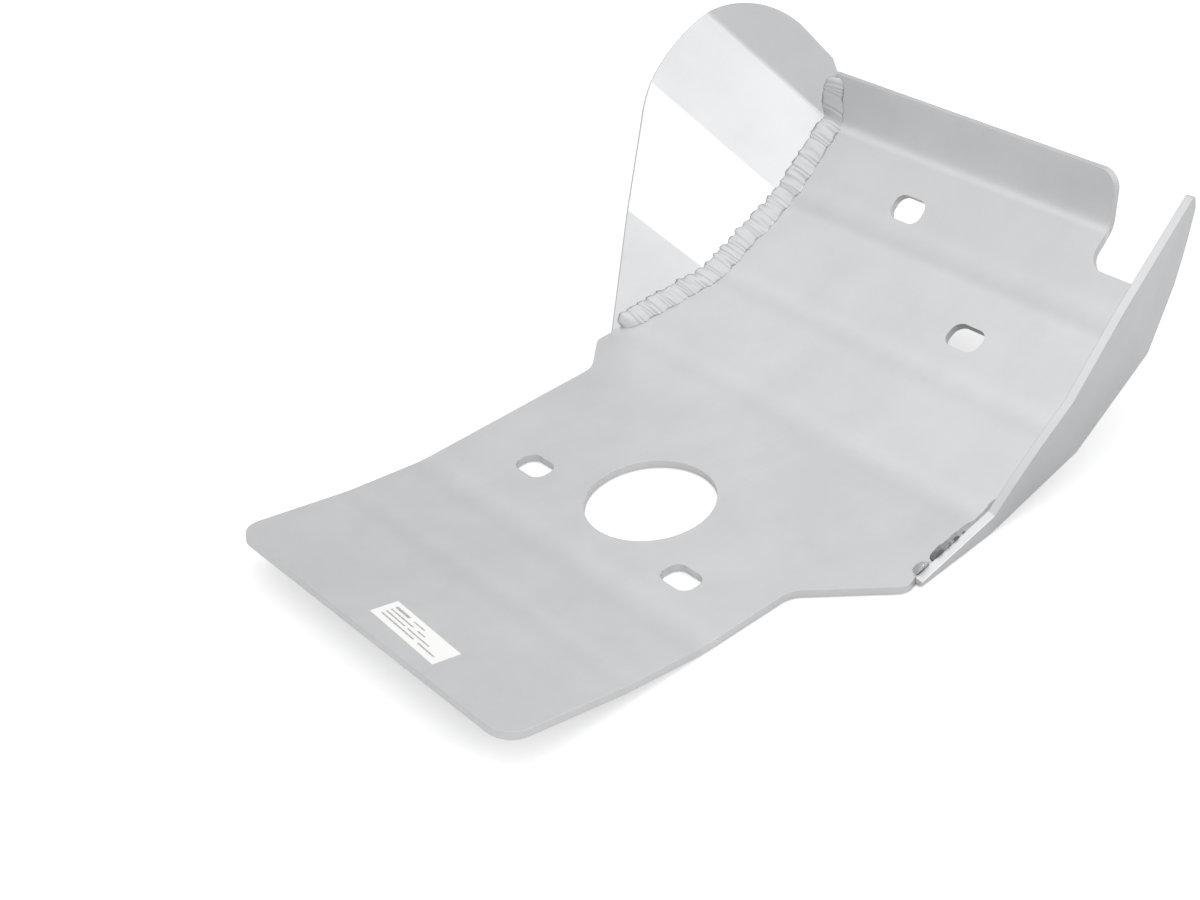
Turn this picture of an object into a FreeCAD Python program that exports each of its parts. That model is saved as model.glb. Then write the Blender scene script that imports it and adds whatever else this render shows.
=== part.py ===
import FreeCAD, Part
import math
import os
import Sketcher
from FreeCAD import Vector, Placement, Rotation

# Engine guard: a bent aluminium plate that covers the underside of an engine, with two
# folded side wings welded along its front edges. X runs across (right is plus), Y runs
# forward and Z up. The origin is on the drain hole's axis, in the underside of the floor.
os.makedirs("parts", exist_ok=True)
doc = FreeCAD.newDocument("engine_guard")

# All sizes are in mm and degrees. Sheet thickness of the plate and of the wings, and the
# inside radius of the wings' folds:
gauge = 4.0
wing_gauge = 4.0
wing_bend_radius = 6.0

# Side profile: runs between the creases and the slope of each facet in degrees
tail_run = 61.4
tail_rise = 11.2
heel_run = 41.8
heel_rise = 7.0
floor_run = 138.4
drain_setback = 52.6
nose_low_run = 54.9
nose_low_rise = 16.4
nose_mid_run = 56.9
nose_mid_rise = 25.0
nose_top_run = 46.6
nose_top_rise = 39.0
lip_run = 26.9
lip_rise = 79.3
tail_bend_radius = 90.0
nose_bend_radius = 40.0
lip_bend_radius = 10.0

# Plan outline: distances from the drain axis. Each shoulder ends a gap behind its wing.
# Along the left side the edge steps outwards from the lip back to the floor, so that the
# wing on it moves with the lip's half width.
tail_left = 109.3
tail_right = 96.0
tail_corner = 12.0
left_shoulder_gap = 12.8
right_shoulder_gap = 6.6
shoulder_angle = 45.0
shoulder_round = 12.0
left_top_half = 104.5
left_mid_step = 1.8
left_low_step = 2.7
left_floor_step = 19.0
left_mid_half = left_top_half + left_mid_step
left_low_half = left_mid_half + left_low_step
left_floor_half = left_low_half + left_floor_step
right_corner_half = 131.5
right_start_half = 129.4
right_floor_half = 126.4
right_low_half = 128.7
right_mid_half = 125.2
right_top_half = 116.0

# Cut-out at the front right corner and the round of the lip
notch_side = 78.0
notch_step = 26.0
notch_round = 9.0
lip_round = 9.0

# Drain hole and the four mounting slots
drain_radius = 31.0
slot_width = 19.6
slot_height = 13.4
slot_round = 5.5
rear_left_slot_x = 63.2
rear_left_slot_y = 18.7
rear_right_slot_x = 53.9
rear_right_slot_y = 28.3
front_left_slot_x = 31.2
front_left_slot_step = 19.0
front_right_slot_x = 45.4
front_right_slot_step = 26.3

# Left wing: flare of each facet from the plate, then the lengths of its creases
left_low_flare = 56.0
left_mid_flare = 52.0
left_top_flare = 51.2
left_front_flare = 38.5

left_foot = 2.2
left_low_crease = 55.7
left_mid_crease = 92.6
left_top_crease = 87.2
left_crown_along = 59.2
left_crown_out = 49.8
left_knee_run = 32.0
left_knee_height = 82.0
left_round_run = 41.2
left_round_height = 88.0
left_back_run = 34.0
left_back_height = 92.4
left_neck_along = 34.0
left_neck_out = 3.0
left_brow_along = 49.9
left_brow_out = 20.3

# Right wing: steeper and lower, with a tongue that reaches forward past the cut-out
right_flare = 76.0
right_foot = 47.0
right_floor_crease = 8.6
right_low_run = 27.0
right_low_height = 25.0
right_low_crease = 39.0
right_mid_crease = 55.5
right_tip_run = 70.5
right_tip_height = 18.0
right_chin_run = 67.5
right_chin_height = 9.8
right_throat_run = 47.0
right_throat_height = 0.6
right_tip_round = 3.6

# Weld beads along the wing roots
weld_leg = 6.6
weld_crown = 1.3
left_weld_start = 3.0
right_weld_back = 13.0
tack_back = 1.5
tack_length = 7.5

# Paper sticker on the tail
label_length = 50.0
label_width = 14.0
label_thickness = 0.2
label_x = 11.4
label_back = 15.6
label_turn = -3.0

# Every size above goes into the spreadsheet under its own name, where the sketches and
# features find it.
sheet = doc.addObject("Spreadsheet::Sheet", "sizes")
size_list = [(name, value) for name, value in globals().items() if isinstance(value, float)]
for row, (name, value) in enumerate(size_list):
    sheet.set("A%d" % (row + 1), name)
    sheet.set("B%d" % (row + 1), str(value))
    sheet.setAlias("B%d" % (row + 1), name)
doc.recompute()

# Crease points of the top face as (y, z), from the rear edge to the lip
slopes = [-tail_rise, -heel_rise, 0.0, nose_low_rise,
          nose_mid_rise, nose_top_rise, lip_rise]
runs = [tail_run, heel_run, floor_run, nose_low_run,
        nose_mid_run, nose_top_run, lip_run]
run_names = ["tail_run", "heel_run", "floor_run", "nose_low_run", "nose_mid_run",
             "nose_top_run", "lip_run"]
slope_names = ["tail_rise", "heel_rise", "", "nose_low_rise", "nose_mid_rise",
               "nose_top_rise", "lip_rise"]


def step(index):
    angle = math.radians(slopes[index])
    return Vector(0, runs[index] * math.cos(angle), runs[index] * math.sin(angle))


crease = [None] * 8
crease[2] = Vector(0, -drain_setback, gauge)
crease[1] = crease[2] - step(1)
crease[0] = crease[1] - step(0)
for index in range(2, 7):
    crease[index + 1] = crease[index] + step(index)
along = [step(index).normalize() for index in range(7)]
normal = [Vector(0, -a.z, a.y) for a in along]


def mitre(before, after, thickness):
    return (before + after) * (thickness / (1.0 + before.dot(after)))


under = [crease[0] - normal[0] * gauge]
for index in range(1, 7):
    under.append(crease[index] - mitre(normal[index - 1], normal[index], gauge))
under.append(crease[7] - normal[6] * gauge)


def make_body(name):
    body = doc.addObject("PartDesign::Body", name)
    body.Label = name
    return body


def origin_plane(body, role):
    return [f for f in body.Origin.OriginFeatures if f.Role == role][0]


def new_sketch(body, name, support):
    sketch = body.newObject("Sketcher::SketchObject", name)
    sketch.AttachmentSupport = [support]
    sketch.MapMode = "FlatFace"
    return sketch


def bind(sketch, index, name, expression):
    sketch.renameConstraint(index, name)
    sketch.setExpression("Constraints." + name, expression)


# Plate: the side profile with sharp creases, padded across and rounded at each crease
plate = make_body("skid_plate")
profile = new_sketch(plate, "side_profile", (origin_plane(plate, "YZ_Plane"), ""))
corners = [Vector(p.y, p.z, 0) for p in crease] + [Vector(p.y, p.z, 0) for p in reversed(under)]
for index in range(16):
    profile.addGeometry(Part.LineSegment(corners[index], corners[(index + 1) % 16]), False)
for index in range(16):
    profile.addConstraint(Sketcher.Constraint("Coincident", index, 2, (index + 1) % 16, 1))
for index in range(7):
    number = profile.addConstraint(Sketcher.Constraint("Distance", index, runs[index]))
    bind(profile, number, run_names[index], "sizes." + run_names[index])
    if index == 2:
        profile.addConstraint(Sketcher.Constraint("Horizontal", index))
    else:
        number = profile.addConstraint(Sketcher.Constraint("Angle", index, math.radians(slopes[index])))
        sign = "-" if index < 2 else ""
        bind(profile, number, slope_names[index], sign + "sizes." + slope_names[index] + " * 1 deg")
    low = 14 - index
    profile.addConstraint(Sketcher.Constraint("Parallel", index, low))
    if index != 2:
        number = profile.addConstraint(Sketcher.Constraint("Distance", low, 2, index, gauge))
        bind(profile, number, "gauge_" + run_names[index], "sizes.gauge")
profile.addConstraint(Sketcher.Constraint("Perpendicular", 0, 15))
profile.addConstraint(Sketcher.Constraint("Perpendicular", 6, 7))
number = profile.addConstraint(Sketcher.Constraint("DistanceX", 2, 1, -1, 1, drain_setback))
bind(profile, number, "drain_setback", "sizes.drain_setback")
number = profile.addConstraint(Sketcher.Constraint("DistanceY", -1, 1, 2, 1, gauge))
bind(profile, number, "floor_gauge", "sizes.gauge")
profile.addConstraint(Sketcher.Constraint("PointOnObject", 12, 1, -1))
sheet_pad = plate.newObject("PartDesign::Pad", "folded_sheet")
sheet_pad.Profile = profile
sheet_pad.SideType = "Symmetric"
sheet_pad.setExpression("Length", "2 * max(sizes.right_corner_half; sizes.left_floor_half) + 20")
doc.recompute()
if profile.solve() != 0 or sheet_pad.State != ["Up-to-date"]:
    raise RuntimeError("folded_sheet")


def crease_edges(shape, points):
    names = []
    for place, edge in enumerate(shape.Edges):
        if len(edge.Vertexes) < 2:
            continue
        a, b = edge.Vertexes[0].Point, edge.Vertexes[1].Point
        if abs(a.y - b.y) > 0.01 or abs(a.z - b.z) > 0.01:
            continue
        for point in points:
            if abs(a.y - point.y) < 0.05 and abs(a.z - point.z) < 0.05:
                names.append("Edge%d" % (place + 1))
    return names


def round_creases(name, points, expression):
    base = plate.Tip
    names = crease_edges(base.Shape, points)
    fillet = plate.newObject("PartDesign::Fillet", name)
    fillet.Base = (base, names)
    fillet.setExpression("Radius", expression)
    doc.recompute()
    if fillet.State != ["Up-to-date"] or len(names) != len(points):
        raise RuntimeError(name)


# Bends: the inside radius is on the top face, the outside one is larger by the gauge
round_creases("tail_bends_inside", crease[1:3], "sizes.tail_bend_radius")
round_creases("tail_bends_outside", under[1:3], "sizes.tail_bend_radius + sizes.gauge")
round_creases("nose_bends_inside", crease[3:6], "sizes.nose_bend_radius")
round_creases("nose_bends_outside", under[3:6], "sizes.nose_bend_radius + sizes.gauge")
round_creases("lip_bend_inside", crease[6:7], "sizes.lip_bend_radius")
round_creases("lip_bend_outside", under[6:7], "sizes.lip_bend_radius + sizes.gauge")

# Plan outline with the shoulder on each side, cut straight up through the folded sheet.
# The cuts reach this far up and down, well past the lip.
cut_reach = 2.0 * crease[7].z
rear = crease[0].y - 40.0
front = crease[7].y + 40.0
slant = math.tan(math.radians(shoulder_angle))
left_shoulder_end = crease[3].y - left_shoulder_gap
left_shoulder = left_shoulder_end - (left_floor_half - tail_left) / slant
right_shoulder_end = crease[3].y - right_foot - right_shoulder_gap
right_shoulder = right_shoulder_end - (right_corner_half - tail_right) / slant
nose_taper = (right_mid_half - right_top_half) / (crease[6].y - crease[5].y)
right_front_half = right_top_half - nose_taper * (front - crease[6].y)
outline_points = [
    Vector(-tail_left, rear, 0),
    Vector(-tail_left, left_shoulder, 0),
    Vector(-left_floor_half, left_shoulder_end, 0),
    Vector(-left_floor_half, crease[3].y, 0),
    Vector(-left_low_half, crease[4].y, 0),
    Vector(-left_mid_half, crease[5].y, 0),
    Vector(-left_top_half, crease[6].y, 0),
    Vector(-left_top_half, front, 0),
    Vector(right_front_half, front, 0),
    Vector(right_top_half, crease[6].y, 0),
    Vector(right_mid_half, crease[5].y, 0),
    Vector(right_low_half, crease[4].y, 0),
    Vector(right_floor_half, crease[3].y, 0),
    Vector(right_start_half, crease[3].y - right_foot, 0),
    Vector(right_corner_half, right_shoulder_end, 0),
    Vector(tail_right, right_shoulder, 0),
    Vector(tail_right, rear, 0)]
rounded = {1: shoulder_round, 2: shoulder_round * 0.5,
           14: shoulder_round * 0.6, 15: shoulder_round}


def rounded_loop(points, radii):
    count = len(points)
    starts = []
    ends = []
    arcs = []
    for index in range(count):
        corner = points[index]
        radius = radii.get(index, 0.0)
        if radius == 0.0:
            starts.append(corner)
            ends.append(corner)
            arcs.append(None)
            continue
        back = (points[index - 1] - corner).normalize()
        ahead = (points[(index + 1) % count] - corner).normalize()
        half = back.getAngle(ahead) / 2.0
        reach = radius / math.tan(half)
        middle = (back + ahead).normalize()
        centre = corner + middle * (radius / math.sin(half))
        starts.append(corner + back * reach)
        ends.append(corner + ahead * reach)
        arcs.append(Part.Arc(corner + back * reach, centre - middle * radius, corner + ahead * reach))
    curves = []
    for index in range(count):
        if arcs[index] is not None:
            curves.append(arcs[index])
        curves.append(Part.LineSegment(ends[index], starts[(index + 1) % count]))
    return curves


def add_loop(sketch, curves):
    first = sketch.GeometryCount
    for curve in curves:
        sketch.addGeometry(curve, False)
    return first


def cut_away(name, sketch):
    before = plate.Shape.Volume
    pocket = plate.newObject("PartDesign::Pocket", name)
    pocket.Profile = sketch
    pocket.Type = "Length"
    pocket.Length = 2.0 * cut_reach
    pocket.SideType = "Symmetric"
    doc.recompute()
    if pocket.State != ["Up-to-date"] or pocket.Shape.Volume >= before:
        raise RuntimeError(name)
    return pocket


trim = new_sketch(plate, "plan_outline", (origin_plane(plate, "XY_Plane"), ""))
edge_reach = right_corner_half + 60.0
corners = [Vector(-edge_reach, rear - 20, 0), Vector(edge_reach, rear - 20, 0),
           Vector(edge_reach, front + 20, 0), Vector(-edge_reach, front + 20, 0)]
add_loop(trim, [Part.LineSegment(corners[i], corners[(i + 1) % 4]) for i in range(4)])
add_loop(trim, rounded_loop(outline_points, rounded))
cut_away("outline_cut", trim)

# Drain hole
drain = new_sketch(plate, "drain_circle", (origin_plane(plate, "XY_Plane"), ""))
drain.addGeometry(Part.Circle(Vector(0, 0, 0), Vector(0, 0, 1), drain_radius), False)
drain.addConstraint(Sketcher.Constraint("Coincident", 0, 3, -1, 1))
number = drain.addConstraint(Sketcher.Constraint("Radius", 0, drain_radius))
bind(drain, number, "drain_radius", "sizes.drain_radius")
cut_away("drain_hole", drain)


# Mounting slots: two in the floor, two square to the facets they sit on
def slot_hole(name, x, y, station):
    sketch = new_sketch(plate, name + "_outline", (origin_plane(plate, "XY_Plane"), ""))
    if station is not None:
        sketch.AttachmentOffset = Placement(crease[station], Rotation(Vector(1, 0, 0), slopes[station]))
    wide = slot_width / 2.0
    high = slot_height / 2.0
    box = [Vector(x - wide, y - high, 0), Vector(x + wide, y - high, 0),
           Vector(x + wide, y + high, 0), Vector(x - wide, y + high, 0)]
    add_loop(sketch, rounded_loop(box, {i: slot_round for i in range(4)}))
    before = plate.Shape.Volume
    pocket = plate.newObject("PartDesign::Pocket", name)
    pocket.Profile = sketch
    pocket.Type = "Length"
    pocket.SideType = "Symmetric"
    pocket.setExpression("Length", "6 * sizes.gauge")
    doc.recompute()
    if pocket.State != ["Up-to-date"] or pocket.Shape.Volume >= before:
        raise RuntimeError(name)


slot_hole("rear_left_slot", -rear_left_slot_x, -rear_left_slot_y, None)
slot_hole("rear_right_slot", rear_right_slot_x, -rear_right_slot_y, None)
slot_hole("front_right_slot", front_right_slot_x, front_right_slot_step, 4)
slot_hole("front_left_slot", -front_left_slot_x, front_left_slot_step, 5)

# Cut-out at the front right corner, square to the upper nose facet
notch = new_sketch(plate, "notch_outline", (origin_plane(plate, "XY_Plane"), ""))
notch.AttachmentOffset = Placement(crease[5], Rotation(Vector(1, 0, 0), slopes[5]))
corners = [Vector(notch_side, notch_step, 0), Vector(edge_reach, notch_step, 0),
           Vector(edge_reach, cut_reach, 0), Vector(notch_side, cut_reach, 0)]
add_loop(notch, rounded_loop(corners, {0: notch_round}))
before = plate.Shape.Volume
notch_cut = plate.newObject("PartDesign::Pocket", "notch_cut")
notch_cut.Profile = notch
notch_cut.Type = "Length"
notch_cut.SideType = "Symmetric"
notch_cut.Length = cut_reach / 2.0
doc.recompute()
if notch_cut.State != ["Up-to-date"] or notch_cut.Shape.Volume >= before:
    raise RuntimeError("notch_cut")


# Rounds at the rear corners and at the top right corner of the lip
def corner_edges(shape, ends, direction):
    names = []
    for place, edge in enumerate(shape.Edges):
        if len(edge.Vertexes) < 2 or abs(edge.Length - gauge) > 0.2:
            continue
        middle = edge.CenterOfMass
        for end in ends:
            if middle.distanceToPoint(end - direction * (gauge / 2.0)) < 0.6:
                names.append("Edge%d" % (place + 1))
    return names


def round_corners(name, ends, direction, expression):
    base = plate.Tip
    names = corner_edges(base.Shape, ends, direction)
    fillet = plate.newObject("PartDesign::Fillet", name)
    fillet.Base = (base, names)
    fillet.setExpression("Radius", expression)
    doc.recompute()
    if fillet.State != ["Up-to-date"] or len(names) != len(ends):
        raise RuntimeError(name)


round_corners("rear_corners", [Vector(-tail_left, crease[0].y, crease[0].z),
                               Vector(tail_right, crease[0].y, crease[0].z)],
              normal[0], "sizes.tail_corner")
round_corners("lip_corner", [Vector(notch_side, crease[7].y, crease[7].z)],
              normal[6], "sizes.lip_round")
doc.recompute()
plate_shape = plate.Shape

# Region above the underside of the plate, used to trim the wings and the beads. The left
# wing is trimmed along the lip as well, the right one goes on past it at the nose's slope.
region_height = 1.3 * cut_reach
region_half = 2.0 * edge_reach


def above_underside(last, ahead):
    upper = [Vector(0, p.y, p.z) for p in under[:last + 1]]
    upper[0] = under[0] - along[0] * 30.0
    upper[-1] = upper[-1] + ahead
    loop = upper + [Vector(0, upper[-1].y - region_height, region_height), Vector(0, rear - 60, region_height)]
    loop = [point - Vector(region_half, 0, 0) for point in loop]
    wire = Part.makePolygon(loop + [loop[0]])
    region = Part.Face(wire).extrude(Vector(2.0 * region_half, 0, 0))
    if region.Volume < 0:
        region.reverse()
    return region


above_with_lip = above_underside(7, along[6] * 40.0)
above_with_nose = above_underside(6, along[5] * 90.0)
low_points = [point - Vector(0, 0, 20) for point in outline_points]
loop_edges = [curve.toShape() for curve in rounded_loop(low_points, rounded)]
outline_prism = Part.Face(Part.Wire(Part.sortEdges(loop_edges)[0])).extrude(Vector(0, 0, region_height))
if outline_prism.Volume < 0:
    outline_prism.reverse()


# Wings. Each facet is a flat panel from a length of the plate's edge (its root) outwards.
# Its flare is the angle it makes with the plate's own facet, 0 being level with it.
def panel(first, second, facet, flare):
    root = (second - first).normalize()
    out = Vector(1, 0, 0)
    out = (out - root * out.dot(root)).normalize()
    up = normal[facet]
    up = (up - root * up.dot(root) - out * up.dot(out)).normalize()
    rise = math.radians(flare)
    lean = out * math.cos(rise) + up * math.sin(rise)
    away = out * math.sin(rise) - up * math.cos(rise)
    return {"start": first, "root": root, "lean": lean, "away": away}


def fold_line(one, two):
    line = one["away"].cross(two["away"]).normalize()
    if line.dot(one["lean"]) < 0:
        line = line * -1.0
    return line


def on_panel(one, run, height):
    return one["start"] + one["root"] * run + one["lean"] * height


def curve_between(kind, points):
    if kind == "arc":
        return Part.Arc(points[0], points[1], points[2]).toShape()
    return Part.LineSegment(points[0], points[-1]).toShape()


def folded_wing(panels, edges, thickness):
    # edges[k] lists the free edge of panel k: (kind, points), points on the inner face.
    # Fold vertices are moved along the mitre, all others square to their own panel.
    faces = []
    count = len(panels)
    folds = [fold_line(panels[k], panels[k + 1]) for k in range(count - 1)]
    mitres = [mitre(panels[k]["away"], panels[k + 1]["away"], thickness) for k in range(count - 1)]

    def moved(point, k):
        away = panels[k]["away"] * thickness
        if k > 0:
            gap = point - panels[k]["start"]
            if gap.cross(folds[k - 1]).Length < 1e-6:
                away = mitres[k - 1]
        if k < count - 1:
            gap = point - panels[k + 1]["start"]
            if gap.cross(folds[k]).Length < 1e-6:
                away = mitres[k]
        return point + away

    for k in range(count):
        inner = []
        outer = []
        free = []
        for kind, points in edges[k]:
            swung = [moved(p, k) for p in points]
            inner.append(curve_between(kind, points))
            outer.append(curve_between(kind, swung))
            if kind != "fold":
                free.append((inner[-1], outer[-1]))
        faces.append(Part.Face(Part.Wire(Part.sortEdges(inner)[0])))
        faces.append(Part.Face(Part.Wire(Part.sortEdges(outer)[0])))
        for low, high in free:
            faces.append(Part.makeRuledSurface(low, high))
    shell = Part.makeShell(faces)
    shell.sewShape()
    solid = Part.makeSolid(shell)
    if solid.Volume < 0:
        solid.reverse()
    return solid, folds, mitres


def wing_solid(panels, edges, region, mirrored):
    solid, folds, mitres = folded_wing(panels, edges, wing_gauge)
    for outside in (False, True):
        chosen = []
        for k in range(len(folds)):
            place = panels[k + 1]["start"] + (mitres[k] if outside else Vector(0, 0, 0))
            for edge in solid.Edges:
                if len(edge.Vertexes) < 2:
                    continue
                a, b = edge.Vertexes[0].Point, edge.Vertexes[1].Point
                if (a - place).cross(folds[k]).Length < 0.01 and (b - place).cross(folds[k]).Length < 0.01:
                    chosen.append(edge)
        solid = solid.makeFillet(wing_bend_radius + (wing_gauge if outside else 0.0), chosen)
    if mirrored:
        solid = solid.mirror(Vector(0, 0, 0), Vector(1, 0, 0))
    solid = solid.cut(outline_prism).common(region).cut(plate_shape)
    solid = solid.removeSplitter()
    pieces = sorted(solid.Solids, key=lambda s: -s.Volume)
    return pieces[0], folds


def corner_arc(before, corner, after, radius):
    # A straight edge, a round of the given radius and the next straight edge
    back = (before - corner).normalize()
    ahead = (after - corner).normalize()
    half = back.getAngle(ahead) / 2.0
    reach = radius / math.tan(half)
    middle = (back + ahead).normalize()
    centre = corner + middle * (radius / math.sin(half))
    return ("arc", [corner + back * reach, centre - middle * radius, corner + ahead * reach])


# The feet run this far down past the plate's top face before they are trimmed to its side
drop = 9.0
left_roots = [Vector(left_floor_half, crease[3].y, crease[3].z),
              Vector(left_low_half, crease[4].y, crease[4].z),
              Vector(left_mid_half, crease[5].y, crease[5].z),
              Vector(left_top_half, crease[6].y, crease[6].z),
              Vector(left_top_half, crease[7].y, crease[7].z)]
low, mid, top, lip = [panel(left_roots[k], left_roots[k + 1], 3 + k, flare) for k, flare in enumerate(
    [left_low_flare, left_mid_flare, left_top_flare, left_front_flare])]
fold_low, fold_mid, fold_top = fold_line(low, mid), fold_line(mid, top), fold_line(top, lip)
heel = on_panel(low, -left_foot, 0.0)
crossing_low = mid["start"] + fold_low * left_low_crease
crossing_mid = top["start"] + fold_mid * left_mid_crease
crossing_top = lip["start"] + fold_top * left_top_crease
below_low = mid["start"] - fold_low * drop
below_mid = top["start"] - fold_mid * drop
below_top = lip["start"] - fold_top * drop
heel_below = heel + (heel - crossing_low).normalize() * drop
knee = on_panel(mid, left_knee_run, left_knee_height)
brow = on_panel(lip, left_brow_along, left_brow_out)
neck = on_panel(lip, left_neck_along, left_neck_out)
lip_end = on_panel(lip, lip_run, 0.0)
lip_end_below = on_panel(lip, lip_run, -drop)
left_edges = [
    [("line", [heel_below, crossing_low]), ("fold", [crossing_low, below_low]),
     ("line", [below_low, heel_below])],
    [("fold", [below_low, crossing_low]), ("line", [crossing_low, knee]),
     ("arc", [knee, on_panel(mid, left_round_run, left_round_height), crossing_mid]),
     ("fold", [crossing_mid, below_mid]), ("line", [below_mid, below_low])],
    [("fold", [below_mid, crossing_mid]),
     ("arc", [crossing_mid, on_panel(top, left_back_run, left_back_height), crossing_top]),
     ("fold", [crossing_top, below_top]), ("line", [below_top, below_mid])],
    [("fold", [below_top, crossing_top]),
     ("arc", [crossing_top, on_panel(lip, left_crown_along, left_crown_out), brow]),
     ("line", [brow, neck]), ("line", [neck, lip_end]),
     ("line", [lip_end, lip_end_below]), ("line", [lip_end_below, below_top])]]
left_panels = [low, mid, top, lip]
left_shape, left_folds = wing_solid(left_panels, left_edges, above_with_lip, True)

# Right wing: it starts further back, on the floor, stands nearly upright, and its front
# is a flat tongue in the plane of the last facet, free of the plate beyond the cut-out
right_roots = [Vector(right_start_half, crease[3].y - right_foot, crease[3].z),
               Vector(right_floor_half, crease[3].y, crease[3].z),
               Vector(right_low_half, crease[4].y, crease[4].z),
               Vector(right_mid_half, crease[5].y, crease[5].z),
               Vector(right_top_half, crease[6].y, crease[6].z)]
base, low, mid, top = [panel(right_roots[k], right_roots[k + 1], 2 + k, right_flare)
                       for k in range(4)]
fold_base, fold_low, fold_mid = fold_line(base, low), fold_line(low, mid), fold_line(mid, top)
crossing_base = low["start"] + fold_base * right_floor_crease
crossing_low = mid["start"] + fold_low * right_low_crease
crossing_mid = top["start"] + fold_mid * right_mid_crease
below_base = low["start"] - fold_base * drop
below_low = mid["start"] - fold_low * drop
below_mid = top["start"] - fold_mid * drop
heel = base["start"]
heel_below = on_panel(base, 0.0, -drop)
tip = on_panel(top, right_tip_run, right_tip_height)
chin = on_panel(top, right_chin_run, right_chin_height)
toe_run = notch_step / nose_top_run * (right_roots[4] - right_roots[3]).Length
toe = on_panel(top, toe_run, 0.0)
toe_below = on_panel(top, toe_run, -drop / 2.0)
throat = on_panel(top, right_throat_run, right_throat_height)
round_tip = corner_arc(crossing_mid, tip, chin, right_tip_round)
right_edges = [
    [("line", [heel_below, heel]), ("line", [heel, crossing_base]),
     ("fold", [crossing_base, below_base]), ("line", [below_base, heel_below])],
    [("fold", [below_base, crossing_base]),
     ("arc", [crossing_base, on_panel(low, right_low_run, right_low_height), crossing_low]),
     ("fold", [crossing_low, below_low]), ("line", [below_low, below_base])],
    [("fold", [below_low, crossing_low]), ("line", [crossing_low, crossing_mid]),
     ("fold", [crossing_mid, below_mid]), ("line", [below_mid, below_low])],
    [("fold", [below_mid, crossing_mid]), ("line", [crossing_mid, round_tip[1][0]]), round_tip,
     ("line", [round_tip[1][2], chin]), ("arc", [chin, throat, toe_below]),
     ("line", [toe_below, below_mid])]]
right_panels = [base, low, mid, top]
right_shape, right_folds = wing_solid(right_panels, right_edges, above_with_nose, False)

# Weld beads in the inner corner between the plate and the wings. Each station has the
# root point and the direction of the leg that lies on the wing.
def bead(stations, mirrored, wing_shape):
    sections = []
    for point, up, leg in stations:
        low = point - Vector(leg, 0, 0)
        high = point + up * leg
        swell = (low + high) * 0.5 - point
        crown = (low + high) * 0.5 + swell.normalize() * weld_crown
        face = [Part.LineSegment(low, point).toShape(), Part.LineSegment(point, high).toShape(),
                Part.Arc(high, crown, low).toShape()]
        sections.append(Part.Wire(face))
    solid = Part.makeLoft(sections, True, True)
    if mirrored:
        solid = solid.mirror(Vector(0, 0, 0), Vector(1, 0, 0))
    if solid.Volume < 0:
        solid.reverse()
    solid = solid.cut(plate_shape).cut(wing_shape)
    pieces = sorted(solid.Solids, key=lambda s: -s.Volume)
    return pieces[0]


def add_piece(name, shape):
    piece = doc.addObject("Part::Feature", name)
    piece.Label = name
    piece.Shape = shape
    piece.Placement = Placement()
    return piece


left_bead = bead(
    [(on_panel(left_panels[0], left_weld_start, 0.0), left_panels[0]["lean"], weld_leg),
     (left_roots[1], left_folds[0], weld_leg), (left_roots[2], left_folds[1], weld_leg),
     (left_roots[3], left_folds[2], weld_leg), (left_roots[4], left_panels[3]["lean"], weld_leg)],
    True, left_shape)
right_bead = bead(
    [(on_panel(right_panels[0], right_weld_back, 0.0), right_panels[0]["lean"], weld_leg),
     (right_roots[1], right_folds[0], weld_leg), (right_roots[2], right_folds[1], weld_leg),
     (right_roots[3], right_folds[2], weld_leg), (toe, right_panels[3]["lean"], weld_leg)],
    False, right_shape)
tack_bead = bead(
    [(on_panel(right_panels[0], tack_back + run, 0.0), right_panels[0]["lean"], weld_leg)
     for run in (0.0, tack_length)],
    False, right_shape)
add_piece("left_wing", left_shape)
add_piece("right_wing", right_shape)
add_piece("left_weld", left_bead)
add_piece("right_weld", right_bead)
add_piece("tack_weld", tack_bead)

# Sticker, turned a little on the tail facet
label = make_body("label")
paper = new_sketch(label, "paper_outline", (origin_plane(label, "XY_Plane"), ""))
label_spot = crease[0] + along[0] * label_back + Vector(label_x, 0, 0)
label_turned = Rotation(Vector(1, 0, 0), slopes[0]).multiply(Rotation(Vector(0, 0, 1), label_turn))
paper.AttachmentOffset = Placement(label_spot, label_turned)
half_long = label_length / 2.0
half_wide = label_width / 2.0
corners = [Vector(-half_long, -half_wide, 0), Vector(half_long, -half_wide, 0),
           Vector(half_long, half_wide, 0), Vector(-half_long, half_wide, 0)]
for index in range(4):
    paper.addGeometry(Part.LineSegment(corners[index], corners[(index + 1) % 4]), False)
for index in range(4):
    paper.addConstraint(Sketcher.Constraint("Coincident", index, 2, (index + 1) % 4, 1))
paper.addConstraint(Sketcher.Constraint("Horizontal", 0))
paper.addConstraint(Sketcher.Constraint("Horizontal", 2))
paper.addConstraint(Sketcher.Constraint("Vertical", 1))
paper.addConstraint(Sketcher.Constraint("Symmetric", 0, 1, 2, 1, -1, 1))
number = paper.addConstraint(Sketcher.Constraint("DistanceX", 0, 1, 0, 2, label_length))
bind(paper, number, "label_length", "sizes.label_length")
number = paper.addConstraint(Sketcher.Constraint("DistanceY", 1, 1, 1, 2, label_width))
bind(paper, number, "label_width", "sizes.label_width")
paper_pad = label.newObject("PartDesign::Pad", "paper")
paper_pad.Profile = paper
paper_pad.setExpression("Length", "sizes.label_thickness")
doc.recompute()

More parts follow.
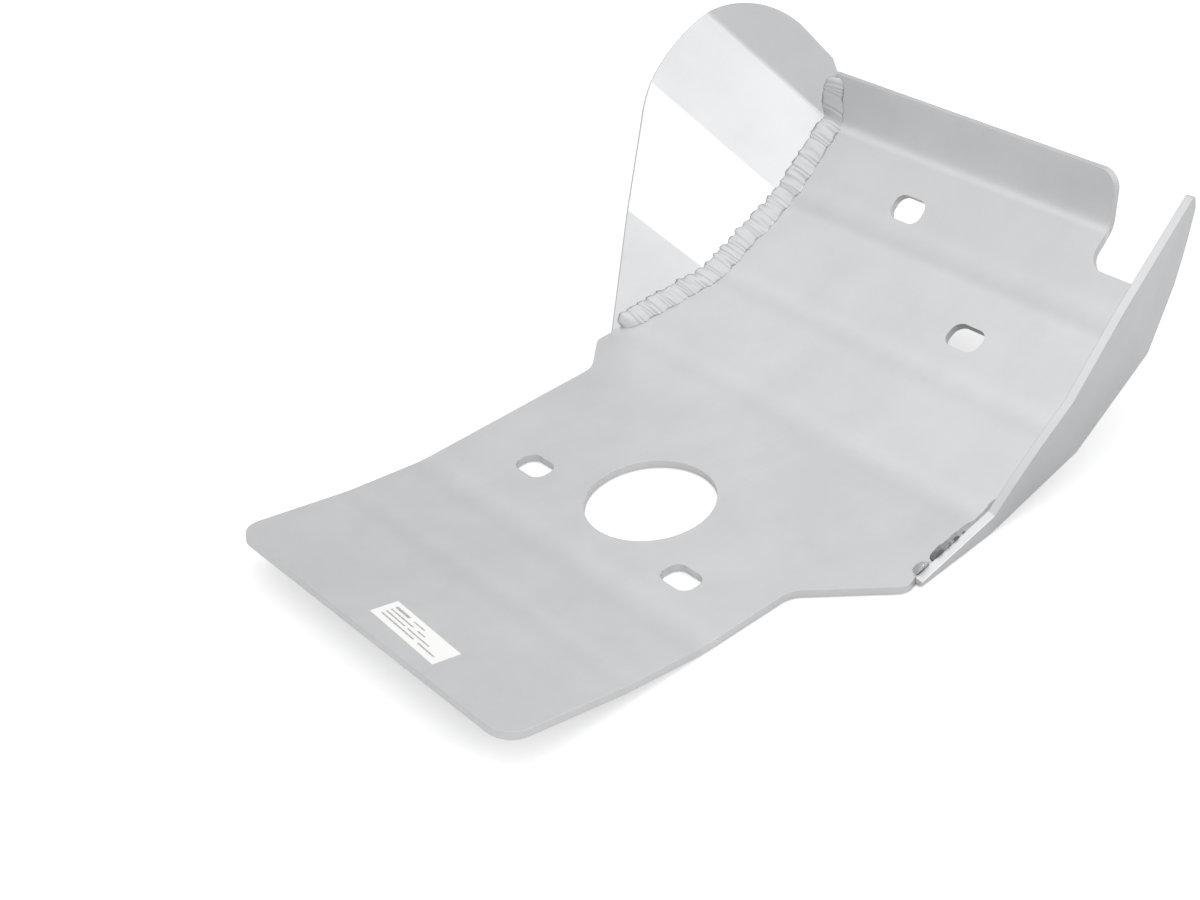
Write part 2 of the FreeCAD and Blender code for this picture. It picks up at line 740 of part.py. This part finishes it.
nodes = ["skid_plate", "left_wing", "right_wing", "left_weld", "right_weld", "tack_weld", "label"]
for item in doc.Objects:
    if "Invalid" in item.State or "Error" in item.State:
        raise RuntimeError("bad state: " + item.Name)
for node in nodes:
    piece = doc.getObject(node)
    if piece.Shape.isNull() or not piece.Shape.isValid() or len(piece.Shape.Solids) != 1:
        raise RuntimeError("bad shape: " + node)
    piece.Shape.exportStep("parts/" + node + ".step")
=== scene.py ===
import math
import bpy
import bmesh
import numpy as np
from mathutils import Matrix, Vector


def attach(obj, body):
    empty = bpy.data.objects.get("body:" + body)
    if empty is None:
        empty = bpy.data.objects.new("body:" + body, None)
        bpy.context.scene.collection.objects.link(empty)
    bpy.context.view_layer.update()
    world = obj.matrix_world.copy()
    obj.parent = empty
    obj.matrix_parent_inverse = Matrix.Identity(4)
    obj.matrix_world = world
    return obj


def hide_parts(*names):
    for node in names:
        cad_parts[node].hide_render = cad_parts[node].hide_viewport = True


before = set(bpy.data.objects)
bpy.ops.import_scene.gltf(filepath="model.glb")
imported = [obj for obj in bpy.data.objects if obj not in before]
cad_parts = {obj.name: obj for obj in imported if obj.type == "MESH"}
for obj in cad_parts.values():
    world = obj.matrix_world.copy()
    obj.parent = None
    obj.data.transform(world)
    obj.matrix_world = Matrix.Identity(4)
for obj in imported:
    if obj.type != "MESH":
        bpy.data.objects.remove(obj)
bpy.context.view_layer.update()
scene = bpy.context.scene
MM = 0.001

# The skid plate: one sheet of 4 mm aluminium, cut by laser and folded on a press brake
# into a tail, a flat floor, three nose facets and a steep lip. Its edges are broken with
# a file, so every one carries a narrow bright round.
EDGE_ROUND = 0.45 * MM
SHARP_EDGE = math.radians(40)
FLAT_TO_LIGHT = math.radians(24)
SAME_PLANE = math.radians(0.2)
SAME_POINT = 0.001 * MM
plate_silver = "#E6E7E8"
plate_shade = "#DFE0E2"
# Painted highlights (strength above zero) and painted shade (below zero) in bands along the plate's
# bends.
BEND_HIGHLIGHTS_AND_SHADE = [(-97, 8, -0.025), (-88, 7, 0.02), (-59, 8, -0.025), (-46, 9, 0.025), (83, 8, -0.02),
              (93, 7, 0.02), (137, 7, -0.035), (145, 7, 0.025), (190, 5.5, -0.075), (198, 5, 0.025),
              (225.2, 2.4, 0.16), (229.5, 3.5, -0.05)]


def linear(hex_colour):
    """An sRGB hex colour as linear RGBA."""
    parts = [int(hex_colour[k:k + 2], 16) / 255.0 for k in (1, 3, 5)]
    return [c / 12.92 if c <= 0.04045 else ((c + 0.055) / 1.055) ** 2.4 for c in parts] + [1.0]


def node(tree, kind, settings=None, inputs=None, links=None):
    """Adds one shader node, gives it its settings and input values, and links its inputs."""
    made = tree.nodes.new(kind)
    for name, value in (settings or {}).items():
        setattr(made, name, value)
    for name, value in (inputs or {}).items():
        made.inputs[name].default_value = value
    for name, (other, output) in (links or {}).items():
        tree.links.new(other.outputs[output], made.inputs[name])
    return made


def material(name):
    """An empty node material with its output."""
    made = bpy.data.materials.new(name)
    made.use_nodes = True
    made.node_tree.nodes.clear()
    return made, made.node_tree, made.node_tree.nodes.new("ShaderNodeOutputMaterial")


def ramp(tree, source, output, stops):
    """A colour ramp over a value, given as (place, sRGB hex) stops."""
    made = node(tree, "ShaderNodeValToRGB", links={"Fac": (source, output)})
    made.color_ramp.elements[0].position = stops[0][0]
    made.color_ramp.elements[0].color = linear(stops[0][1])
    made.color_ramp.elements[1].position = stops[-1][0]
    made.color_ramp.elements[1].color = linear(stops[-1][1])
    for place, colour in stops[1:-1]:
        made.color_ramp.elements.new(place).color = linear(colour)
    return made


def paint_bend_light(tree, place, bend_light_bands):
    """A factor near one with soft bands across the sheet at the bends: painted highlights and painted
    shade for the light that each bend's curve catches or loses. Each mark is (y in mm, half width in
    mm, strength)."""
    split = node(tree, "ShaderNodeSeparateXYZ", links={"Vector": (place, "Object")})
    total = node(tree, "ShaderNodeMath", {"operation": "ADD"}, {0: 1.0, 1: 0.0})
    for y, half, strength in bend_light_bands:
        off = node(tree, "ShaderNodeMath", {"operation": "SUBTRACT"}, {1: y * MM}, {0: (split, "Y")})
        off = node(tree, "ShaderNodeMath", {"operation": "ABSOLUTE"}, links={0: (off, 0)})
        band = node(tree, "ShaderNodeMapRange", {"interpolation_type": "SMOOTHSTEP"},
                    {"From Min": 0.0, "From Max": half * MM, "To Min": strength, "To Max": 0.0},
                    {"Value": (off, 0)})
        total = node(tree, "ShaderNodeMath", {"operation": "ADD"},
                     links={0: (total, 0), 1: (band, "Result")})
    return total


def mill_finish_aluminium(name, light, dark, grain_turn, bend_light_bands):
    """Rolled 5083 sheet as it leaves the mill: a satin silver with rolling lines about 0.6 mm apart and
    60 mm long, drawn coarser than the real 0.1 mm so that they show, soft cloudy patches some 40 mm
    wide, and a few pale rubs from handling. The colour is also scaled by any bands of painted highlight
    and painted shade at the bends."""
    made, tree, out = material(name)
    place = node(tree, "ShaderNodeTexCoord")
    turned = node(tree, "ShaderNodeMapping", inputs={"Rotation": (0.0, 0.0, grain_turn),
                  "Scale": (1.0, 0.012, 1.0)}, links={"Vector": (place, "Object")})
    lines = node(tree, "ShaderNodeTexNoise", inputs={"Scale": 1.0 / (0.6 * MM), "Detail": 3.0,
                 "Roughness": 0.6}, links={"Vector": (turned, "Vector")})
    clouds = node(tree, "ShaderNodeTexNoise", inputs={"Scale": 1.0 / (40 * MM), "Detail": 3.0,
                  "Roughness": 0.55}, links={"Vector": (place, "Object")})
    rubs = node(tree, "ShaderNodeTexNoise", inputs={"Scale": 1.0 / (9 * MM), "Detail": 5.0,
                "Roughness": 0.7, "Distortion": 0.6}, links={"Vector": (place, "Object")})
    blend = node(tree, "ShaderNodeMath", {"operation": "MULTIPLY_ADD"}, {1: 0.35},
                 {0: (lines, "Fac"), 2: (clouds, "Fac")})
    colour = ramp(tree, blend, 0, [(0.45, dark), (0.9, light)])
    # Painted highlights and painted shade at the bends scale the colour here.
    colour = node(tree, "ShaderNodeVectorMath", {"operation": "SCALE"},
                  links={0: (colour, "Color"), "Scale": (paint_bend_light(tree, place, bend_light_bands), 0)})
    gloss = node(tree, "ShaderNodeMapRange", inputs={"From Min": 0.35, "From Max": 0.75,
                 "To Min": 0.36, "To Max": 0.47}, links={"Value": (rubs, "Fac")})
    bump = node(tree, "ShaderNodeBump", inputs={"Strength": 0.12, "Distance": 0.05 * MM},
                links={"Height": (lines, "Fac")})
    shader = node(tree, "ShaderNodeBsdfPrincipled", inputs={"Metallic": 1.0},
                  links={"Base Color": (colour, "Vector"), "Roughness": (gloss, "Result"),
                         "Normal": (bump, "Normal")})
    tree.links.new(shader.outputs[0], out.inputs[0])
    return made


def broken_edges(node_name, piece_name, finish):
    """Puts a finished copy of a folded sheet's solid in the node's place: triangles in one
    plane are joined, and each sharp edge gets a small round, with flat faces kept flat."""
    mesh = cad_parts[node_name].data.copy()
    shape = bmesh.new()
    shape.from_mesh(mesh)
    bmesh.ops.remove_doubles(shape, verts=shape.verts, dist=SAME_POINT)
    bmesh.ops.dissolve_limit(shape, angle_limit=SAME_PLANE, verts=shape.verts, edges=shape.edges)
    for face in shape.faces:
        face.smooth = True
    for edge in shape.edges:
        edge.smooth = edge.calc_face_angle(0.0) < FLAT_TO_LIGHT
    shape.to_mesh(mesh)
    shape.free()
    mesh.materials.clear()
    mesh.materials.append(finish)
    piece = bpy.data.objects.new(piece_name, mesh)
    scene.collection.objects.link(piece)
    rounds = piece.modifiers.new("broken_edge", "BEVEL")
    rounds.limit_method = "ANGLE"
    rounds.angle_limit = SHARP_EDGE
    rounds.width = EDGE_ROUND
    rounds.segments = 2
    rounds.harden_normals = True
    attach(piece, "root")
    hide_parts(node_name)


# The plate's material carries the painted bend highlights and painted shade.
plate_finish_and_bend_light = mill_finish_aluminium("plate_aluminium_with_painted_bend_light", plate_silver, plate_shade, 0.0,
                                     BEND_HIGHLIGHTS_AND_SHADE)
broken_edges("skid_plate", "skid_plate_sheet", plate_finish_and_bend_light)

# The two wings: folded from the same sheet, set on the plate's edges and welded on the
# inside. The left one meets the lip and keeps its full crown, the right one is cut low and
# ends in a point. They lay turned on the sheet, so their rolling lines run aslant.
WING_GRAIN = 0.6
wing_finish = mill_finish_aluminium("mill_finish_aluminium_wing", plate_silver, plate_shade,
                                    WING_GRAIN, [])
broken_edges("left_wing", "left_wing_sheet", wing_finish)
broken_edges("right_wing", "right_wing_sheet", wing_finish)

# The weld beads: aluminium filler laid by hand in the inner corner of each wing, a run of overlapping
# puddles with patches of soot along both toes, and painted shade in the toe corners, in the grooves
# between puddles and over the open gap at the start of the right bead. Their roots are those of the
# solids. A short tack holds the rear end of the right wing.
WELD_LEG = 6.8 * MM
PUDDLE = 3.4 * MM
PUDDLE_HEIGHT = 0.22 * MM
ROW_STEP = 0.42 * MM
COLUMNS = 25
# Stops along the root for the levels of soot and painted shade.
SOOT_AND_SHADE_STOPS = [0.0, 22 * MM, 32 * MM]
FULL_TURN = 6.283
weld_silver = "#D1D2D3"
weld_grey = "#B4B5B6"
# The darkest colour: soot, and painted shade in the toe corners, the grooves and the gap.
weld_soot_and_shade = "#77787A"


def weld_metal():
    """Aluminium filler as it cooled: a bright satin crown, and soot along the toes, with painted shade
    in the toe corners, in the grooves and over the dark gap at the right bead's start, all carried by
    the bead's own attribute."""
    made, tree, out = material("aluminium_weld_bead")
    place = node(tree, "ShaderNodeTexCoord")
    toe = node(tree, "ShaderNodeAttribute", {"attribute_name": "toe"})
    specks = node(tree, "ShaderNodeTexNoise", inputs={"Scale": 1.0 / (1.6 * MM), "Detail": 4.0,
                  "Roughness": 0.65}, links={"Vector": (place, "Object")})
    soot = node(tree, "ShaderNodeMath", {"operation": "MULTIPLY_ADD"}, {1: 0.5, 2: -0.25},
                {0: (specks, "Fac")})
    total = node(tree, "ShaderNodeMath", {"operation": "ADD", "use_clamp": True},
                 links={0: (toe, "Fac"), 1: (soot, 0)})
    colour = ramp(tree, total, 0, [(0.2, weld_silver), (0.6, weld_grey), (0.95, weld_soot_and_shade)])
    gloss = node(tree, "ShaderNodeMapRange", inputs={"To Min": 0.34, "To Max": 0.6},
                 links={"Value": (total, 0)})
    shader = node(tree, "ShaderNodeBsdfPrincipled", inputs={"Metallic": 1.0},
                  links={"Base Color": (colour, "Color"), "Roughness": (gloss, "Result")})
    tree.links.new(shader.outputs[0], out.inputs[0])
    return made


def bead(name, roots, plate_side, wing_sides, leg, crown, finish, replaced, seed, soot):
    """A weld bead as a closed grid. One parameter runs along the root line, the other across the bead
    from the plate's toe to the wing's toe. The section is a straight line between the toes plus a half
    sine of the crown, and overlapping puddles add arcs that bow forward in the middle. Both ends run
    out as a quarter ellipse. The soot along the toes, together with painted shade in the toe corners
    and in the grooves between puddles, has one level for each of the stops along the root, and above
    one the level paints the whole bead dark as shade."""
    roots = np.array(roots) * MM
    wing_sides = np.array(wing_sides)
    wing_sides = wing_sides / np.linalg.norm(wing_sides, axis=1)[:, None]
    lengths = np.linalg.norm(np.diff(roots, axis=0), axis=1)
    stations = np.concatenate([[0.0], np.cumsum(lengths)])
    total = stations[-1]
    steps = int(total / ROW_STEP) + 2
    along = np.linspace(0.0, total, steps)
    across = np.linspace(0.0, 1.0, COLUMNS)
    centre = np.stack([np.interp(along, stations, roots[:, k]) for k in range(3)], axis=1)
    up = np.stack([np.interp(along, stations, wing_sides[:, k]) for k in range(3)], axis=1)
    up = up / np.linalg.norm(up, axis=1)[:, None]
    low = np.array(plate_side, float)[None, :].repeat(steps, axis=0)
    out = (up + low) / np.linalg.norm(up + low, axis=1)[:, None]
    draw = np.random.default_rng(seed)
    waves = [(draw.uniform(7, 40) * MM, draw.uniform(0, 6.28)) for _ in range(5)]
    wander = sum(np.sin(FULL_TURN * along / length + start) for length, start in waves) / 5.0
    drift = sum(np.sin(FULL_TURN * along / (length * 0.6) + start * 1.7)
                for length, start in waves) / 5.0
    reach = 1.6 * leg
    run_out = np.minimum(along, total - along) / reach
    run_out = np.sqrt(np.clip(1.0 - (1.0 - np.clip(run_out, 0, 1)) ** 2, 0.0, 1.0))
    pace = along / PUDDLE + 1.3 * wander + 0.8 * drift
    size = leg * (1.0 + 0.15 * wander + 0.035 * np.sin(FULL_TURN * pace)) * (0.35 + 0.65 * run_out)
    size_up = leg * (1.0 + 0.20 * drift + 0.04 * np.sin(5.1 * pace)) * (0.35 + 0.65 * run_out)
    bow = (2.0 * across - 1.0) ** 2
    phase = pace[:, None] + 0.45 * bow[None, :]
    tooth = phase - np.floor(phase)
    ripple = np.clip(np.sin(np.pi * tooth ** 0.7), 0.0, 1.0)
    dome = np.sin(np.pi * across)[None, :]
    height = crown * (1.0 + 0.35 * wander[:, None]) * dome + PUDDLE_HEIGHT * ripple * dome
    height = height * run_out[:, None]
    grid = (centre[:, None, :] + low[:, None, :] * (size[:, None, None] * (1.0 - across)[None, :, None])
            + up[:, None, :] * (size_up[:, None, None] * across[None, :, None])
            + out[:, None, :] * height[:, :, None])
    ring = np.concatenate([grid, centre[:, None, :]], axis=1)
    rows, columns = ring.shape[:2]
    # Soot along the toes, which also stands for painted shade in the corners there.
    toe = np.clip(1.0 - np.minimum(across, 1.0 - across) / 0.14, 0.0, 1.0)
    # Painted shade in the grooves between puddles.
    painted_groove_shade = 0.08 * (1.0 - ripple) * dome
    wing_soot = np.clip(0.20 + 1.8 * drift + 0.7 * np.sin(2.3 * pace), 0.0, 1.0)[:, None]
    plate_soot = np.clip(0.25 - 1.6 * wander + 0.6 * np.sin(1.7 * pace + 1.0), 0.0, 1.0)[:, None]
    patch = np.where(across > 0.5, wing_soot, plate_soot)
    amount = np.interp(along, SOOT_AND_SHADE_STOPS, soot)[:, None]
    # Levels above one paint the whole bead dark as shade, used for the open gap where the right bead
    # starts.
    painted_gap_shade = 1.6 * np.clip(amount - 1.0, 0, 1)
    soot_and_shade = toe[None, :] * (0.10 + 0.90 * patch) * amount + painted_groove_shade * amount + painted_gap_shade
    soot_and_shade = np.clip(soot_and_shade, 0.0, 1.0)
    soot_and_shade = np.concatenate([soot_and_shade, np.ones((rows, 1))], axis=1)
    index = np.arange(rows * columns).reshape(rows, columns)
    right = np.roll(index, -1, axis=1)
    quads = np.stack([index[:-1], right[:-1], right[1:], index[1:]], axis=2).reshape(-1, 4)
    mesh = bpy.data.meshes.new(name)
    faces = quads.tolist() + [index[0].tolist()[::-1], index[-1].tolist()]
    mesh.from_pydata(ring.reshape(-1, 3).tolist(), [], faces)
    layer = mesh.attributes.new("toe", "FLOAT", "POINT")
    layer.data.foreach_set("value", soot_and_shade.reshape(-1).astype(np.float32))
    shape = bmesh.new()
    shape.from_mesh(mesh)
    bmesh.ops.recalc_face_normals(shape, faces=shape.faces)
    for face in shape.faces:
        face.smooth = len(face.verts) == 4
    shape.to_mesh(mesh)
    shape.free()
    mesh.materials.append(finish)
    piece = bpy.data.objects.new(name, mesh)
    scene.collection.objects.link(piece)
    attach(piece, "root")
    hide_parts(replaced)


weld_finish = weld_metal()
bead("left_weld_bead",
     [(-126.9, 88.8, 4.9), (-109.0, 138.47, 19.5), (-106.3, 190.04, 43.55),
      (-104.5, 226.25, 72.87), (-104.5, 230.9, 97.6)],
     (1, 0, 0),
     [(-0.55, -0.30, 0.78), (-0.616, -0.423, 0.665), (-0.617, -0.374, 0.693),
      (-0.616, -0.367, 0.697), (-0.783, -0.612, 0.116)],
     WELD_LEG, 0.55 * MM, weld_finish, "left_weld", 3, [0.7, 0.8, 0.8])
# The right bead's soot levels start above one, so its first stretch is painted dark as the shade of the
# open gap there.
bead("right_weld_bead",
     [(128.57, 51.8, 4.0), (126.4, 85.8, 4.0), (128.7, 138.47, 19.5), (125.2, 190.04, 43.55),
      (120.1, 210.0, 59.7)],
     (-1, 0, 0),
     [(0.241, 0.015, 0.97), (0.245, -0.04, 0.969), (0.238, -0.351, 0.906),
      (0.249, -0.621, 0.743), (0.237, -0.574, 0.784)],
     WELD_LEG * 0.85, 0.8 * MM, weld_finish, "right_weld", 5, [1.5, 1.1, 0.1])
bead("tack_weld_blob",
     [(129.25, 40.4, 4.0), (128.85, 47.6, 4.0)],
     (-1, 0, 0),
     [(0.241, 0.015, 0.97), (0.241, 0.015, 0.97)],
     WELD_LEG * 0.9, 1.2 * MM, weld_finish, "tack_weld", 8, [0.9, 0.9, 0.9])

# The label: a small printed paper sticker on the tail, glued on by hand and a little
# crooked. Its print is only grey bars, each (start, end, middle, height) in mm.
LABEL_LONG = 50.0
LABEL_WIDE = 14.0
PAPER = 0.15 * MM
LOOSE_CORNER = 0.25 * MM
label_white = "#FDFDFB"
label_grey = "#A3A4A6"
PRINT_BARS = [(4, 15, 10.9, 1.5), (18, 27, 10.9, 0.7), (4, 22, 8.3, 0.8), (25, 31, 8.3, 0.8),
              (4, 19, 5.9, 0.8), (21, 38, 5.9, 0.8), (4, 30, 3.5, 0.9), (33, 46, 3.5, 0.9)]


def label_sheet(centre, slope, turn):
    """A thin sheet on the tail facet: u runs along its length and v across. The upper side
    is lifted by the paper's thickness, a little more at one loose corner."""
    u, v = np.meshgrid(np.linspace(0, 1, 121), np.linspace(0, 1, 43), indexing="ij")
    x = (u - 0.5) * (LABEL_LONG * MM)
    y = (v - 0.5) * (LABEL_WIDE * MM)
    lift = PAPER + LOOSE_CORNER * np.clip(u + v - 1.82, 0, 1) ** 2 / 0.18 ** 2
    cos_turn, sin_turn = math.cos(turn), math.sin(turn)
    flat_x = x * cos_turn - y * sin_turn
    flat_y = x * sin_turn + y * cos_turn
    cos_slope, sin_slope = math.cos(slope), math.sin(slope)
    top = np.stack([centre[0] * MM + flat_x, centre[1] * MM + flat_y * cos_slope - lift * sin_slope,
                    centre[2] * MM + flat_y * sin_slope + lift * cos_slope], axis=2)
    base = np.stack([centre[0] * MM + flat_x, centre[1] * MM + flat_y * cos_slope,
                     centre[2] * MM + flat_y * sin_slope], axis=2)
    ink = np.zeros_like(u)
    for start, end, middle, tall in PRINT_BARS:
        near = np.clip((tall / 2 + 0.15 - np.abs(v * LABEL_WIDE - middle)) / 0.3, 0, 1)
        ink = np.maximum(ink, near * (u * LABEL_LONG > start) * (u * LABEL_LONG < end))
    rows, columns = u.shape
    index = np.arange(rows * columns).reshape(rows, columns)
    quads = np.stack([index[:-1, :-1], index[1:, :-1], index[1:, 1:], index[:-1, 1:]], axis=2)
    quads = quads.reshape(-1, 4)
    under = quads[:, ::-1] + rows * columns
    rim = np.concatenate([index[:, 0], index[-1, 1:], index[-2::-1, -1], index[0, -2:0:-1]])
    after = np.roll(rim, -1)
    sides = np.stack([rim, rim + rows * columns, after + rows * columns, after], axis=1)
    mesh = bpy.data.meshes.new("label_paper")
    points = np.concatenate([top.reshape(-1, 3), base.reshape(-1, 3)])
    mesh.from_pydata(points.tolist(), [], np.concatenate([quads, under, sides]).tolist())
    layer = mesh.attributes.new("ink", "FLOAT", "POINT")
    ink = np.concatenate([ink.reshape(-1), np.zeros(ink.size)])
    layer.data.foreach_set("value", ink.astype(np.float32))
    return mesh


def printed_paper():
    """Coated label paper, an even soft white with faint fibres, under grey toner."""
    made, tree, out = material("printed_label_paper")
    place = node(tree, "ShaderNodeTexCoord")
    ink = node(tree, "ShaderNodeAttribute", {"attribute_name": "ink"})
    fibres = node(tree, "ShaderNodeTexNoise", inputs={"Scale": 1.0 / (0.9 * MM), "Detail": 4.0},
                  links={"Vector": (place, "Object")})
    worn = node(tree, "ShaderNodeMath", {"operation": "MULTIPLY", "use_clamp": True},
                links={0: (ink, "Fac"), 1: (fibres, "Fac")})
    amount = node(tree, "ShaderNodeMath", {"operation": "MULTIPLY", "use_clamp": True}, {1: 1.7},
                  links={0: (worn, 0)})
    colour = ramp(tree, amount, 0, [(0.05, label_white), (0.95, label_grey)])
    shader = node(tree, "ShaderNodeBsdfPrincipled", inputs={"Roughness": 0.45, "IOR": 1.45},
                  links={"Base Color": (colour, "Color")})
    tree.links.new(shader.outputs[0], out.inputs[0])
    return made


label_mesh = label_sheet((11.4, -139.016, 17.99), math.radians(-11.2), math.radians(-3.0))
label_mesh.materials.append(printed_paper())
label_paper = bpy.data.objects.new("label_paper", label_mesh)
scene.collection.objects.link(label_paper)
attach(label_paper, "root")
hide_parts("label")

# The floor: a wide sheet of white paper under the guard, matt enough to keep its shadow.
# The camera sees it lifted to white. The metal mirrors it a little darker, and darker still
# ahead of the guard, where the wings keep light off it.
FLOOR_Z = -0.0006
FLOOR_HALF = 6
floor_white = "#E8E8E8"
floor_mesh = bpy.data.meshes.new("studio_floor")
corners = [(x * FLOOR_HALF, y * FLOOR_HALF, FLOOR_Z) for x, y in [(-1, -1), (1, -1), (1, 1), (-1, 1)]]
floor_mesh.from_pydata(corners, [], [(0, 1, 2, 3)])
floor_finish, tree, out = material("white_paper_floor")
rays = node(tree, "ShaderNodeLightPath")
mirrored = node(tree, "ShaderNodeMath", {"operation": "MULTIPLY"}, {1: 0.07},
                {0: (rays, "Is Glossy Ray")})
seen = node(tree, "ShaderNodeMath", {"operation": "MAXIMUM"},
            links={0: (rays, "Is Camera Ray"), 1: (rays, "Is Transmission Ray")})
seen = node(tree, "ShaderNodeMath", {"operation": "MAXIMUM"}, links={0: (seen, 0), 1: (mirrored, 0)})
place = node(tree, "ShaderNodeTexCoord")
split = node(tree, "ShaderNodeSeparateXYZ", links={"Vector": (place, "Object")})
ahead_of = node(tree, "ShaderNodeMapRange", inputs={"From Min": -0.05, "From Max": 0.10, "To Min": 0.10,
                "To Max": 0.20}, links={"Value": (split, "Y")})
dark = node(tree, "ShaderNodeMath", {"operation": "MULTIPLY"}, links={0: (ahead_of, "Result"),
            1: (rays, "Is Glossy Ray")})
paper = node(tree, "ShaderNodeMath", {"operation": "SUBTRACT"}, {0: 1.0}, {1: (dark, 0)})
paper = node(tree, "ShaderNodeVectorMath", {"operation": "SCALE"}, {0: linear(floor_white)[:3]},
             {"Scale": (paper, 0)})
matt = node(tree, "ShaderNodeBsdfDiffuse", links={"Color": (paper, "Vector")})
lift = node(tree, "ShaderNodeEmission", inputs={"Color": (1.0, 1.0, 1.0, 1.0)})
amount = node(tree, "ShaderNodeMath", {"operation": "MULTIPLY"}, {1: 0.42}, {0: (seen, 0)})
tree.links.new(amount.outputs[0], lift.inputs["Strength"])
both = node(tree, "ShaderNodeAddShader", links={0: (matt, 0), 1: (lift, 0)})
tree.links.new(both.outputs[0], out.inputs[0])
floor_mesh.materials.append(floor_finish)
floor = bpy.data.objects.new("studio_floor", floor_mesh)
scene.collection.objects.link(floor)

# The light: a white surround that is brighter overhead and a little dimmer to the left and
# low down, and one soft box on the right, whose reflection whitens the left wing's middle.
world = bpy.data.worlds.new("studio")
scene.world = world
world.use_nodes = True
tree = world.node_tree
tree.nodes.clear()
place = node(tree, "ShaderNodeTexCoord")
split = node(tree, "ShaderNodeSeparateXYZ", links={"Vector": (place, "Generated")})
height = node(tree, "ShaderNodeMapRange", inputs={"From Min": 0.1, "From Max": 0.9, "To Min": 0.78,
              "To Max": 1.14}, links={"Value": (split, "Z")})
side = node(tree, "ShaderNodeMapRange", inputs={"From Min": -0.75, "From Max": -0.25, "To Min": -0.10,
            "To Max": 0.14}, links={"Value": (split, "X")})
crest = node(tree, "ShaderNodeMapRange", inputs={"From Min": 0.80, "From Max": 0.95, "To Min": 0.0,
             "To Max": 0.20}, links={"Value": (split, "Z")})
level = node(tree, "ShaderNodeMath", {"operation": "ADD"},
             links={0: (height, "Result"), 1: (side, "Result")})
level = node(tree, "ShaderNodeMath", {"operation": "ADD"}, links={0: (level, 0), 1: (crest, "Result")})
rays = node(tree, "ShaderNodeLightPath")
dim = node(tree, "ShaderNodeBackground", links={"Strength": (level, 0)})
bright = node(tree, "ShaderNodeBackground", inputs={"Strength": 1.0})
pick = node(tree, "ShaderNodeMixShader",
            links={0: (rays, "Is Camera Ray"), 1: (dim, 0), 2: (bright, 0)})
out = node(tree, "ShaderNodeOutputWorld", links={"Surface": (pick, 0)})


def soft_box(name, place, aim, wide, tall, power):
    """A rectangular lamp at a place in metres, facing a point."""
    lamp = bpy.data.lights.new(name, "AREA")
    lamp.shape = "RECTANGLE"
    lamp.size = wide
    lamp.size_y = tall
    lamp.energy = power
    made = bpy.data.objects.new(name, lamp)
    scene.collection.objects.link(made)
    made.location = place
    made.rotation_euler = (Vector(aim) - Vector(place)).to_track_quat("-Z", "Y").to_euler()


soft_box("right_soft_box", (1.47, 0.46, 0.83), (-0.13, 0.18, 0.08), 0.70, 0.50, 4.7)

# The camera stands to the right and behind, above the guard, and looks forward and down.
# Its focal length is in pixels of a picture 1200 wide.
FOCAL_PIXELS = 2098.13
PICTURE_WIDTH = 1200.0
SENSOR_WIDTH = 36.0
eye = Vector((0.6336, -0.4591, 0.5687))
right = Vector((0.629498, 0.767107, -0.123605))
down = Vector((0.374203, -0.438721, -0.817004))
ahead = Vector((-0.680958, 0.468049, -0.563228))
turn = Matrix([[right[k], -down[k], -ahead[k]] for k in range(3)])
lens = bpy.data.cameras.new("camera")
lens.sensor_width = SENSOR_WIDTH
lens.lens = SENSOR_WIDTH * FOCAL_PIXELS / PICTURE_WIDTH
lens.clip_start = 0.05
camera = bpy.data.objects.new("camera", lens)
scene.collection.objects.link(camera)
camera.matrix_world = Matrix.Translation(eye) @ turn.to_4x4()
scene.camera = camera
scene.view_settings.view_transform = "Standard"
